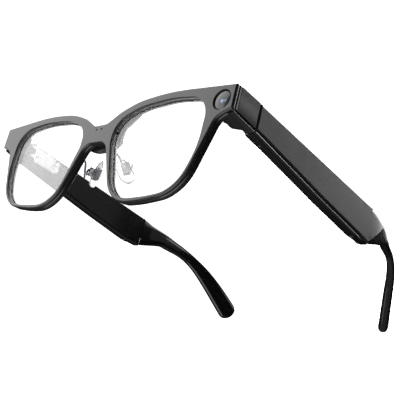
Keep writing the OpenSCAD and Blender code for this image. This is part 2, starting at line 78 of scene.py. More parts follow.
# ------------------------------------------------------------------ node writing
class Wire:
    """One output of a node, with operators that add Math nodes."""

    def __init__(self, pen: "NodePen", made: bpy.types.Node, output: int | str = 0) -> None:
        """Takes an output of a node that the pen has made."""
        self.pen = pen
        self.made = made
        self.output = output

    @property
    def socket(self) -> bpy.types.NodeSocket:
        """The output's socket."""
        return self.made.outputs[self.output]

    def other(self, output: int | str) -> "Wire":
        """Another output of the same node."""
        return Wire(self.pen, self.made, output)

    def _maths(self, operation: str, *values: object) -> "Wire":
        """Adds a Math node over the given operands."""
        return self.pen.node("ShaderNodeMath", {"operation": operation},
                             {i: v for i, v in enumerate(values)})

    def __add__(self, other: object) -> "Wire":
        """Sum of two values."""
        return self._maths("ADD", self, other)

    def __radd__(self, other: object) -> "Wire":
        """Sum with a plain number first."""
        return self._maths("ADD", other, self)

    def __sub__(self, other: object) -> "Wire":
        """Difference of two values."""
        return self._maths("SUBTRACT", self, other)

    def __rsub__(self, other: object) -> "Wire":
        """Difference from a plain number."""
        return self._maths("SUBTRACT", other, self)

    def __mul__(self, other: object) -> "Wire":
        """Product of two values."""
        return self._maths("MULTIPLY", self, other)

    def __rmul__(self, other: object) -> "Wire":
        """Product with a plain number first."""
        return self._maths("MULTIPLY", other, self)

    def __truediv__(self, other: object) -> "Wire":
        """Quotient of two values."""
        return self._maths("DIVIDE", self, other)

    def clamped(self) -> "Wire":
        """The value held between 0 and 1."""
        return self._maths("MINIMUM", self._maths("MAXIMUM", self, 0.0), 1.0)

    def root(self) -> "Wire":
        """Square root."""
        return self._maths("SQRT", self)

    def sine(self) -> "Wire":
        """Sine of the value in radians."""
        return self._maths("SINE", self)


class NodePen:
    """Writes the node tree of one material, world or node group."""

    def __init__(self, tree: bpy.types.NodeTree) -> None:
        """Empties the tree it will write."""
        self.tree = tree
        tree.nodes.clear()

    def node(self, kind: str, settings: dict | None = None, inputs: dict | None = None,
             output: int | str = 0) -> Wire:
        """Adds a node.

        Args:
            kind: the node's type name.
            settings: attributes set before the inputs; "stops" sets a ramp's stops.
            inputs: values or wires, by socket name or index.
            output: the output that the returned wire carries.

        Returns:
            The chosen output as a wire.
        """
        made = self.tree.nodes.new(kind)
        for key, value in (settings or {}).items():
            if key == "stops":
                ramp = made.color_ramp
                while len(ramp.elements) < len(value):
                    ramp.elements.new(0.5)
                for stop, (place, colour) in zip(ramp.elements, value):
                    stop.position = place
                    stop.color = (*colour, 1.0)
            else:
                setattr(made, key, value)
        for key, value in (inputs or {}).items():
            if isinstance(value, Wire):
                self.tree.links.new(value.socket, made.inputs[key])
            else:
                made.inputs[key].default_value = value
        return Wire(self, made, output)

    def place(self) -> Wire:
        """Object coordinates, in metres."""
        return self.node("ShaderNodeTexCoord", output="Object")

    def axes(self) -> tuple[Wire, Wire, Wire]:
        """The three Object coordinates as values, in millimetres."""
        split = self.node("ShaderNodeSeparateXYZ", None, {0: self.place()})
        return tuple(split.other(i) * (1 / MM) for i in range(3))

    def noise(self, scale: float, detail: float = 3.0, rough: float = 0.55) -> Wire:
        """Noise over the object, scale being its features a metre."""
        return self.node("ShaderNodeTexNoise", None,
                         {"Vector": self.place(), "Scale": scale, "Detail": detail,
                          "Roughness": rough}, "Fac")

    def span(self, value: Wire, low: float, high: float, start: float, end: float) -> Wire:
        """Maps low..high to start..end, held at the ends."""
        return self.node("ShaderNodeMapRange", {"clamp": True},
                         {0: value, 1: low, 2: high, 3: start, 4: end})

    def blend(self, share: Wire, first: Sequence[float], second: Sequence[float]) -> Wire:
        """A colour between two colours."""
        return self.node("ShaderNodeMix", {"data_type": "RGBA"},
                         {0: share, 6: (*first, 1.0), 7: (*second, 1.0)}, 2)

    def bump(self, height: Wire, strength: float, depth: float) -> Wire:
        """A Bump node over a height of the given depth in millimetres."""
        return self.node("ShaderNodeBump", None,
                         {"Height": height, "Strength": strength, "Distance": depth * MM})

    def seen(self) -> Wire:
        """One for rays from the viewer, straight or through glass, and else zero."""
        straight = self.node("ShaderNodeLightPath", output="Is Camera Ray")
        return (straight + straight.other("Is Transmission Ray")).clamped()

    def finish(self, last: Wire, output: str = "ShaderNodeOutputMaterial") -> None:
        """Joins the last node to the tree's output."""
        self.node(output, None, {0: last})

    def surface(self, inputs: dict) -> None:
        """Adds the Principled shader and the output."""
        self.finish(self.node("ShaderNodeBsdfPrincipled", None, inputs))


@dataclass(frozen=True)
class Finish:
    """A surface finish: its name and how its nodes are written."""

    name: str

    def write(self, pen: NodePen) -> None:
        """Writes the finish's nodes; each finish has its own.

        Args:
            pen: writes the nodes.
        """
        raise NotImplementedError

    def material(self) -> bpy.types.Material:
        """The finish as a material, made once.

        Returns:
            The material, which every piece with this finish shares.
        """
        title = f"{self.name}_finish"
        found = bpy.data.materials.get(title)
        if found is None:
            found = bpy.data.materials.new(title)
            found.use_nodes = True
            self.write(NodePen(found.node_tree))
        return found


@dataclass(frozen=True)
class MouldedPlastic(Finish):
    """Black moulded plastic: fine spark-eroded grain, soft flow marks, worn high spots."""

    dark: tuple[float, float, float] = (0.012, 0.012, 0.013)
    light: tuple[float, float, float] = (0.020, 0.020, 0.022)
    rough: float = 0.42
    grain: float = 0.35
    grain_depth: float = 0.012
    coat: float = 0.0
    specular: float = 0.5

    def write(self, pen: NodePen) -> None:
        """Writes grain, flow marks and a slight sheen.

        Args:
            pen: writes the nodes.
        """
        flow = pen.noise(55.0, 4.0)
        grain = pen.noise(5200.0, 2.0, 0.6)
        rub = pen.span(pen.noise(260.0, 5.0), 0.45, 0.75, 0.0, 1.0)
        roughness = (self.rough + (flow - 0.5) * 0.07 - rub * 0.03).clamped()
        pen.surface({
            "Base Color": pen.blend(pen.span(flow, 0.3, 0.7, 0.0, 1.0), self.dark, self.light),
            "Roughness": roughness,
            "Specular IOR Level": self.specular,
            "Coat Weight": self.coat,
            "Coat Roughness": 0.06,
            "Normal": pen.bump(grain, self.grain, self.grain_depth),
        })


@dataclass(frozen=True)
class ClearGlass(Finish):
    """Clear thin glass with a reflecting coat and a trace of wipe marks in it."""

    tint: tuple[float, float, float] = (1.0, 1.0, 1.0)
    ior: float = 1.03
    coat_ior: float = 1.7
    coat_rough: float = 0.045

    def write(self, pen: NodePen) -> None:
        """Writes clear transmission with faint wipe marks in a thin coat.

        Args:
            pen: writes the nodes.
        """
        wipe = pen.span(pen.noise(140.0, 5.0), 0.5, 0.9, 0.0, 0.05)
        pen.surface({
            "Base Color": pen.blend(wipe, self.tint, (0.97, 0.97, 0.97)),
            "Roughness": 0.0,
            "Coat Weight": 1.0 - wipe,
            "Coat IOR": self.coat_ior,
            "Coat Roughness": self.coat_rough,
            "IOR": self.ior,
            "Transmission Weight": 1.0,
            "Specular IOR Level": 0.5,
        })


@dataclass(frozen=True)
class WindowGlass(Finish):
    """The camera's dark window: smoked glass over a coated lens, with its bluish reflections painted
    in as glowing spots.
    """

    centre: Point = (0.0, 0.0)
    radius: float = 4.1

    def away(self, pen: NodePen, x: float = 0.0, z: float = 0.0) -> Wire:
        """The distance in millimetres from a point of the window.

        Args:
            pen: writes the nodes.
            x: the point's place to the wearer's left of the window's centre.
            z: its place above the centre.

        Returns:
            The distance.
        """
        across, _, up = pen.axes()
        dx, dz = across - (self.centre[0] + x), up - (self.centre[1] + z)
        return (dx * dx + dz * dz).root()

    def spot(self, pen: NodePen, x: float, z: float, size: float) -> Wire:
        """A soft round mask around a point of the window."""
        return pen.span(self.away(pen, x, z), size * 0.25, size, 1.0, 0.0)

    def write(self, pen: NodePen) -> None:
        """Writes rings of the lens barrel, a blue coating and two small painted glints that glow.

        Args:
            pen: writes the nodes.
        """
        rings = pen.node("ShaderNodeValToRGB", {"stops": [
            (0.0, (0.008, 0.010, 0.022)), (0.30, (0.006, 0.008, 0.014)),
            (0.42, (0.020, 0.021, 0.023)), (0.70, (0.034, 0.034, 0.035)),
            (0.90, (0.020, 0.020, 0.021)), (0.98, (0.004, 0.004, 0.004))]},
            {0: self.away(pen) / self.radius})
        # The two glints are painted highlights: soft blue spots that glow by emission instead of
        # reflecting a lamp.
        painted_glint = (self.spot(pen, 0.2, -0.7, 0.9) + self.spot(pen, 1.7, -0.6, 0.7) * 0.5).clamped()
        pen.surface({
            "Base Color": rings,
            "Roughness": pen.span(pen.noise(300.0), 0.3, 0.7, 0.20, 0.26),
            "Emission Color": pen.blend(painted_glint, (0.0, 0.0, 0.0), (0.45, 0.62, 1.0)),
            "Emission Strength": 0.7,
            "Coat Weight": 0.35,
            "Coat Roughness": 0.08,
            "Specular IOR Level": 0.3,
        })


@dataclass(frozen=True)
class SoftSilicone(Finish):
    """Clear skin-soft silicone, faintly milky."""

    def write(self, pen: NodePen) -> None:
        """Writes a clear body with fine surface haze.

        Args:
            pen: writes the nodes.
        """
        haze = pen.span(pen.noise(900.0, 4.0), 0.35, 0.75, 0.02, 0.12)
        pen.surface({
            "Base Color": pen.blend(pen.span(pen.noise(160.0), 0.3, 0.7, 0.0, 1.0),
                                    (0.80, 0.81, 0.82), (0.88, 0.88, 0.89)),
            "Roughness": haze,
            "IOR": 1.41,
            "Transmission Weight": 0.96,
        })


@dataclass(frozen=True)
class DrawnMetal(Finish):
    """Metal with drawn or turned lines."""

    light: tuple[float, float, float] = (0.78, 0.78, 0.80)
    dark: tuple[float, float, float] = (0.50, 0.50, 0.52)
    rough: float = 0.24
    stretch: tuple[float, float, float] = (900.0, 900.0, 9000.0)
    line_depth: float = 0.01

    def write(self, pen: NodePen) -> None:
        """Writes stretched lines in colour, roughness and bump.

        Args:
            pen: writes the nodes.
        """
        mapped = pen.node("ShaderNodeMapping", None, {"Vector": pen.place(), "Scale": self.stretch})
        lines = pen.node("ShaderNodeTexNoise", None,
                         {"Vector": mapped, "Scale": 1.0, "Detail": 4.0}, "Fac")
        stain = pen.span(pen.noise(320.0, 4.0), 0.4, 0.8, 0.0, 1.0)
        pen.surface({
            "Base Color": pen.blend((stain * 0.5 + lines * 0.3).clamped(), self.light, self.dark),
            "Metallic": 1.0,
            "Roughness": (self.rough + (lines - 0.5) * 0.16 + stain * 0.08).clamped(),
            "Normal": pen.bump(lines, 0.25, self.line_depth),
        })


@dataclass(frozen=True)
class CircuitBoard(Finish):
    """Solder mask with copper tracks and pads."""

    def write(self, pen: NodePen) -> None:
        """Writes a grid of tracks under the mask.

        Args:
            pen: writes the nodes.
        """
        cells = pen.node("ShaderNodeTexBrick", None,
                         {"Vector": pen.place(), "Color1": (0.008, 0.09, 0.04, 1.0),
                          "Color2": (0.01, 0.14, 0.06, 1.0), "Mortar": (0.45, 0.30, 0.10, 1.0),
                          "Scale": 420.0, "Mortar Size": 0.03})
        pen.surface({"Base Color": cells, "Roughness": pen.span(pen.noise(700.0), 0, 1, 0.3, 0.5),
                     "Coat Weight": 0.5, "Coat Roughness": 0.2})


@dataclass(frozen=True)
class PrintedFilm(Finish):
    """Polyimide film with fine etched lines."""

    def write(self, pen: NodePen) -> None:
        """Writes amber film with copper lines.

        Args:
            pen: writes the nodes.
        """
        _, y, _ = pen.axes()
        lines = pen.span((y * 6.0).sine(), 0.4, 0.6, 0.0, 1.0)
        pen.surface({"Base Color": pen.blend(lines, (0.30, 0.12, 0.02), (0.55, 0.30, 0.12)),
                     "Roughness": pen.span(pen.noise(500.0), 0, 1, 0.25, 0.45)})


@dataclass(frozen=True)
class PaleFloor(Finish):
    """Pale studio floor that glows evenly where it is seen and throws little light back."""

    def write(self, pen: NodePen) -> None:
        """Writes an even pale glow for the viewer over a dim matt floor.

        Args:
            pen: writes the nodes.
        """
        matt = pen.node("ShaderNodeBsdfDiffuse", None, {"Color": (0.3, 0.3, 0.3, 1.0)})
        glow = pen.node("ShaderNodeEmission", None,
                        {"Color": pen.blend(pen.noise(0.3), (0.86, 0.86, 0.86), (0.89, 0.89, 0.89)),
                         "Strength": 1.0})
        pen.finish(pen.node("ShaderNodeMixShader", None, {0: pen.seen(), 1: matt, 2: glow}))


SATIN = MouldedPlastic("satin_black", rough=0.40, grain=0.45, specular=0.6)
COVER = MouldedPlastic("satin_cover", dark=(0.010, 0.010, 0.0105), light=(0.016, 0.016, 0.017),
                       rough=0.33, grain=0.06)
GLOSS = MouldedPlastic("gloss_black", dark=(0.003, 0.003, 0.0033), light=(0.005, 0.005, 0.0055),
                       rough=0.13, grain=0.0, coat=0.2, specular=0.35)
RIM = MouldedPlastic("rim_black", dark=(0.006, 0.006, 0.0065), light=(0.010, 0.010, 0.0105),
                     rough=0.28, grain=0.04, coat=0.15)
INNER = MouldedPlastic("dark_internals", dark=(0.006, 0.006, 0.006),
                       light=(0.012, 0.012, 0.012), rough=0.6, grain=0.3, specular=0.2)
LENS = ClearGlass("clear_lens")
GUIDE = ClearGlass("waveguide_glass", tint=(0.985, 1.0, 0.99), coat_ior=1.35)
PAD = SoftSilicone("pad_silicone")
STEEL = DrawnMetal("bright_steel", light=(0.55, 0.55, 0.57), dark=(0.34, 0.34, 0.36), rough=0.28)
DARK_STEEL = DrawnMetal("dark_steel", light=(0.17, 0.17, 0.18), dark=(0.07, 0.07, 0.075),
                        rough=0.2)
CAN = DrawnMetal("speaker_can", light=(0.45, 0.45, 0.47), dark=(0.30, 0.30, 0.31), rough=0.4)
GOLD = DrawnMetal("gold_plate", light=(0.92, 0.66, 0.28), dark=(0.75, 0.50, 0.20), rough=0.22)
FOIL = DrawnMetal("cell_foil", light=(0.62, 0.64, 0.67), dark=(0.46, 0.47, 0.50), rough=0.35,
                  stretch=(300.0, 90.0, 900.0))
PCB = CircuitBoard("circuit_board")
FILM = PrintedFilm("touch_film")
FLOOR = PaleFloor("studio_floor")


# ------------------------------------------------------------------ outlines and meshes
def corner_arc(a: Corner, b: Corner, c: Corner, step: float = 3.0) -> list[Point]:
    """The arc that rounds corner b between its neighbours a and c.

    Args:
        a: the corner before.
        b: the corner to round, its third number being the radius.
        c: the corner after.
        step: degrees turned by each segment.

    Returns:
        The arc's points in order.
    """
    at = np.array(b[:2])
    u = np.array(a[:2]) - at
    v = np.array(c[:2]) - at
    u, v = u / np.linalg.norm(u), v / np.linalg.norm(v)
    half = math.acos(max(-1.0, min(1.0, float(u @ v)))) / 2
    bisector = (u + v) / np.linalg.norm(u + v)
    middle = at + bisector * b[2] / math.sin(half)
    start = at + u * b[2] / math.tan(half) - middle
    end = at + v * b[2] / math.tan(half) - middle
    first = math.atan2(start[1], start[0])
    turn = (math.atan2(end[1], end[0]) - first + math.pi) % (2 * math.pi) - math.pi
    count = max(3, math.ceil(abs(math.degrees(turn)) / step))
    return [tuple(middle + b[2] * np.array([math.cos(first + turn * i / count),
                                            math.sin(first + turn * i / count)]))
            for i in range(count + 1)]


def rounded(corners: Sequence[Corner], step: float = 3.0) -> np.ndarray:
    """A closed outline with every corner rounded by its own radius.

    Args:
        corners: the corners in order, a radius of zero being a sharp one.
        step: degrees turned by each segment of an arc.

    Returns:
        The outline's points in order.
    """
    count = len(corners)
    points: list[Point] = []
    for i, corner in enumerate(corners):
        if corner[2] > 0:
            points += corner_arc(corners[i - 1], corner, corners[(i + 1) % count], step)
        else:
            points.append(corner[:2])
    return np.array(points)


def mirrored(corners: Sequence[Corner]) -> list[Corner]:
    """The corners on the other side of the middle, in closing order."""
    return [(-x, z, r) for x, z, r in reversed(corners)]


def circle(x: float, z: float, radius: float, count: int = 72) -> np.ndarray:
    """Points round a circle."""
    turns = np.linspace(0, 2 * math.pi, count, endpoint=False)
    return np.stack([x + radius * np.cos(turns), z + radius * np.sin(turns)], 1)


def inward(loop: np.ndarray) -> np.ndarray:
    """For each point of a loop, the step that moves its sides inward by one.

    Args:
        loop: a closed outline's points, turning either way.

    Returns:
        One step for each point, a little long at corners so that sides stay parallel.
    """
    area = 0.5 * np.sum(loop[:, 0] * np.roll(loop[:, 1], -1) - loop[:, 1] * np.roll(loop[:, 0], -1))
    along = np.roll(loop, -1, 0) - loop
    along /= np.linalg.norm(along, axis=1)[:, None] + 1e-12
    side = np.stack([-along[:, 1], along[:, 0]], 1) * (1 if area > 0 else -1)
    mean = side + np.roll(side, 1, 0)
    mean /= np.linalg.norm(mean, axis=1)[:, None]
    lean = np.clip(np.sum(mean * side, axis=1), 0.5, 1.0)
    return mean / lean[:, None]


def ring_at(outline: np.ndarray, y: float) -> np.ndarray:
    """An outline in X and Z as a ring of points at one depth Y."""
    return np.stack([outline[:, 0], np.full(len(outline), y), outline[:, 1]], 1)


def smooth_step(value: np.ndarray | float) -> np.ndarray | float:
    """Eases 0..1 with level ends."""
    held = np.clip(value, 0.0, 1.0)
    return held * held * (3 - 2 * held)


def spline(points: np.ndarray, s: np.ndarray) -> np.ndarray:
    """A smooth curve through all points but the first and last.

    Args:
        points: the points that steer the curve.
        s: places along it, 0 being the second point and 1 the third.

    Returns:
        One point for each place.
    """
    i = np.clip(np.floor(s).astype(int), 0, len(points) - 4)
    t = (s - i)[:, None]
    a, b, c, d = (points[i + k] for k in range(4))
    return 0.5 * (2 * b + (c - a) * t + (2 * a - 5 * b + 4 * c - d) * t**2
                  + (3 * b - a - 3 * c + d) * t**3)


class Solid:
    """Collects points and faces, in millimetres, and makes a finished mesh object."""

    def __init__(self) -> None:
        """Starts empty."""
        self.points: list[np.ndarray] = []
        self.faces: list[tuple[int, ...]] = []
        self.count = 0

    def add_points(self, points: np.ndarray) -> int:
        """Adds points.

        Args:
            points: rows of X, Y and Z.

        Returns:
            The first one's number.
        """
        first = self.count
        self.points.append(np.asarray(points, float))
        self.count += len(points)
        return first

    def loft(self, rings: np.ndarray, closed_ends: bool = True) -> "Solid":
        """Joins rings of equal size by quads.

        Args:
            rings: rings of points, in order.
            closed_ends: whether the first and last ring are filled in.

        Returns:
            This solid.
        """
        n, k, _ = rings.shape
        first = self.add_points(rings.reshape(-1, 3))
        for j in range(n - 1):
            for i in range(k):
                a, b = first + j * k + i, first + j * k + (i + 1) % k
                self.faces.append((a, b, b + k, a + k))
        if closed_ends:
            self.faces.append(tuple(first + i for i in reversed(range(k))))
            self.faces.append(tuple(first + (n - 1) * k + i for i in range(k)))
        return self

    def plate(self, edges: Sequence[tuple[np.ndarray, Profile]]) -> "Solid":
        """A plate in X and Z with shaped edges.

        Args:
            edges: the outer outline first, then the holes, each with its profile.

        Returns:
            This solid.
        """
        fronts, backs = [], []
        for place, (loop, profile) in enumerate(edges):
            step = inward(loop) * (1 if place == 0 else -1)
            firsts = []
            for inset, depth in profile:
                moved = loop + step * inset
                firsts.append(self.add_points(ring_at(moved, depth)))
            k = len(loop)
            for low, high in zip(firsts, firsts[1:]):
                for i in range(k):
                    j = (i + 1) % k
                    self.faces.append((low + i, low + j, high + j, high + i))
            fronts.append((firsts[0], loop + step * profile[0][0]))
            backs.append((firsts[-1], loop + step * profile[-1][0]))
        for group in (fronts, backs):
            numbers = [first + i for first, loop in group for i in range(len(loop))]
            flat = [[Vector((x, z, 0)) for x, z in loop] for _, loop in group]
            for face in tessellate_polygon(flat):
                self.faces.append(tuple(numbers[i] for i in face))
        return self

    def turned(self, matrix: Matrix) -> "Solid":
        """Moves every point by a matrix in millimetres, and returns this solid."""
        m = np.array(matrix)
        self.points = [p @ m[:3, :3].T + m[:3, 3] for p in self.points]
        return self

    def on(self, side: Side) -> "Solid":
        """Mirrors the solid, drawn on the left, to a side, and returns it."""
        self.points = [p * np.array([side.value, 1, 1]) for p in self.points]
        return self

    def make(self, name: str, finish: Finish, crease: float = 34.0) -> bpy.types.Object:
        """Makes the object.

        Args:
            name: the piece's name.
            finish: its finish.
            crease: edges sharper than this many degrees stay crisp.

        Returns:
            The finished mesh object, at the origin.
        """
        mesh = bpy.data.meshes.new(name)
        mesh.from_pydata([tuple(p) for p in np.concatenate(self.points) * MM], [], self.faces)
        bm = bmesh.new()
        bm.from_mesh(mesh)
        bmesh.ops.remove_doubles(bm, verts=bm.verts, dist=1e-7)
        bmesh.ops.dissolve_degenerate(bm, edges=bm.edges, dist=1e-8)
        bmesh.ops.recalc_face_normals(bm, faces=bm.faces)
        bm.to_mesh(mesh)
        bm.free()
        return finish_mesh(bpy.data.objects.new(name, mesh), finish, crease)


def polished_plate(loop: np.ndarray, front: float, back: float, bevel: float) -> Solid:
    """A glass plate with small polished bevels.

    Args:
        loop: the plate's outline in X and Z.
        front: depth Y of its front face.
        back: depth Y of its back face.
        bevel: the bevels' width.

    Returns:
        The plate.
    """
    hold = bevel + 0.04
    return Solid().plate([(loop, [(hold, front), (bevel, front), (0, front + bevel),
                                  (0, back - bevel), (bevel, back), (hold, back)])])


def finish_mesh(piece: bpy.types.Object, finish: Finish, crease: float) -> bpy.types.Object:
    """Links a mesh object, smooths it between creases and gives it its finish.

    Args:
        piece: the mesh object.
        finish: its finish.
        crease: edges sharper than this many degrees stay crisp.

    Returns:
        The same object.
    """
    if piece.name not in bpy.context.scene.collection.objects:
        bpy.context.scene.collection.objects.link(piece)
    piece.data.shade_smooth()
    piece.data.set_sharp_from_angle(angle=math.radians(crease))
    piece.data.materials.clear()
    piece.data.materials.append(finish.material())
    return piece


def carried(node: str, name: str, finish: Finish, bevel: float, crease: float = 30.0,
            segments: int = 3) -> bpy.types.Object:
    """A copy of a node's merged mesh with softened edges.

    Args:
        node: the CAD node to copy.
        name: the new piece's name.
        finish: its finish.
        bevel: width of the softened edges in millimetres.
        crease: edges sharper than this many degrees are softened.
        segments: steps across each softened edge.

    Returns:
        The new piece, at the origin.
    """
    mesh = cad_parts[node].data.copy()
    mesh.name = name
    bm = bmesh.new()
    bm.from_mesh(mesh)
    bmesh.ops.remove_doubles(bm, verts=bm.verts, dist=2e-6)
    bmesh.ops.dissolve_limit(bm, angle_limit=math.radians(0.8), verts=bm.verts, edges=bm.edges)
    sharp = [e for e in bm.edges
             if len(e.link_faces) == 2 and e.calc_face_angle(0.0) > math.radians(crease)]
    bmesh.ops.bevel(bm, geom=sharp, offset=bevel * MM, segments=segments, profile=0.5,
                    affect="EDGES", clamp_overlap=True)
    bmesh.ops.triangulate(bm, faces=[f for f in bm.faces if len(f.verts) > 4])
    bm.to_mesh(mesh)
    bm.free()
    return finish_mesh(bpy.data.objects.new(name, mesh), finish, crease)


def settle(piece: bpy.types.Object, body: str, slot: str, *stands_for: str) -> bpy.types.Object:
    """Rides a piece on its body and hides the CAD nodes that it stands for.

    Args:
        piece: the finished piece.
        body: the body that it moves with.
        slot: its material slot; not used.
        stands_for: the CAD nodes that it replaces.

    Returns:
        The same piece.
    """
    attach(piece, body)
    if stands_for:
        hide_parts(*stands_for)
    LOG.info("%s rides on %s, %d faces", piece.name, body, len(piece.data.polygons))
    return piece


def dress(node: str, finish: Finish) -> None:
    """Gives a CAD node that stays in view its finish."""
    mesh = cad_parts[node].data
    mesh.materials.clear()
    mesh.materials.append(finish.material())


class Repeater:
    """Geometry Nodes that repeat one block along a line."""

    SOCKETS = {"Count": "NodeSocketInt", "Start": "NodeSocketVector",
               "Step": "NodeSocketVector", "Size": "NodeSocketVector",
               "Finish": "NodeSocketMaterial"}

    def __init__(self, name: str) -> None:
        """Builds the node group with its named inputs.

        Args:
            name: the group's name.
        """
        self.group = bpy.data.node_groups.new(name, "GeometryNodeTree")
        face = self.group.interface
        self.keys = {title: face.new_socket(name=title, in_out="INPUT", socket_type=kind).identifier
                     for title, kind in self.SOCKETS.items()}
        face.new_socket(name="Geometry", in_out="OUTPUT", socket_type="NodeSocketGeometry")
        pen = NodePen(self.group)
        entry = pen.node("NodeGroupInput")
        given = {title: entry.other(title) for title in self.SOCKETS}
        line = pen.node("GeometryNodeMeshLine", {"mode": "OFFSET", "count_mode": "TOTAL"},
                        {"Count": given["Count"], "Start Location": given["Start"],
                         "Offset": given["Step"]})
        block = pen.node("GeometryNodeMeshCube", None, {"Size": given["Size"]})
        blocks = pen.node("GeometryNodeInstanceOnPoints", None,
                          {"Points": line, "Instance": block}, "Instances")
        solid = pen.node("GeometryNodeRealizeInstances", None, {"Geometry": blocks})
        done = pen.node("GeometryNodeSetMaterial", None,
                        {"Geometry": solid, "Material": given["Finish"]})
        pen.finish(done, "NodeGroupOutput")

    def bake(self, **values: object) -> bpy.types.Mesh:
        """Repeats the block and bakes the result.

        Args:
            values: the inputs by name, in metres.

        Returns:
            All the blocks as one mesh.
        """
        carrier = bpy.data.objects.new("carrier", bpy.data.meshes.new("carrier"))
        bpy.context.scene.collection.objects.link(carrier)
        nodes = carrier.modifiers.new("repeat", "NODES")
        nodes.node_group = self.group
        for title, value in values.items():
            nodes[self.keys[title]] = value
        graph = bpy.context.evaluated_depsgraph_get()
        mesh = bpy.data.meshes.new_from_object(carrier.evaluated_get(graph))
        bpy.data.objects.remove(carrier)
        return mesh


def with_ribs(node: str, name: str, finish: Finish, ribs: bpy.types.Mesh) -> bpy.types.Object:
    """A copy of a node's mesh with repeated ribs added to it.

    Args:
        node: the CAD node to copy.
        name: the new piece's name.
        finish: its finish.
        ribs: the ribs, already in place.

    Returns:
        The new piece, at the origin.
    """
    mesh = bpy.data.meshes.new(name)
    bm = bmesh.new()
    bm.from_mesh(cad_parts[node].data)
    bmesh.ops.remove_doubles(bm, verts=bm.verts, dist=2e-6)
    bm.from_mesh(ribs)
    bm.to_mesh(mesh)
    bm.free()
    return finish_mesh(bpy.data.objects.new(name, mesh), finish, 30.0)


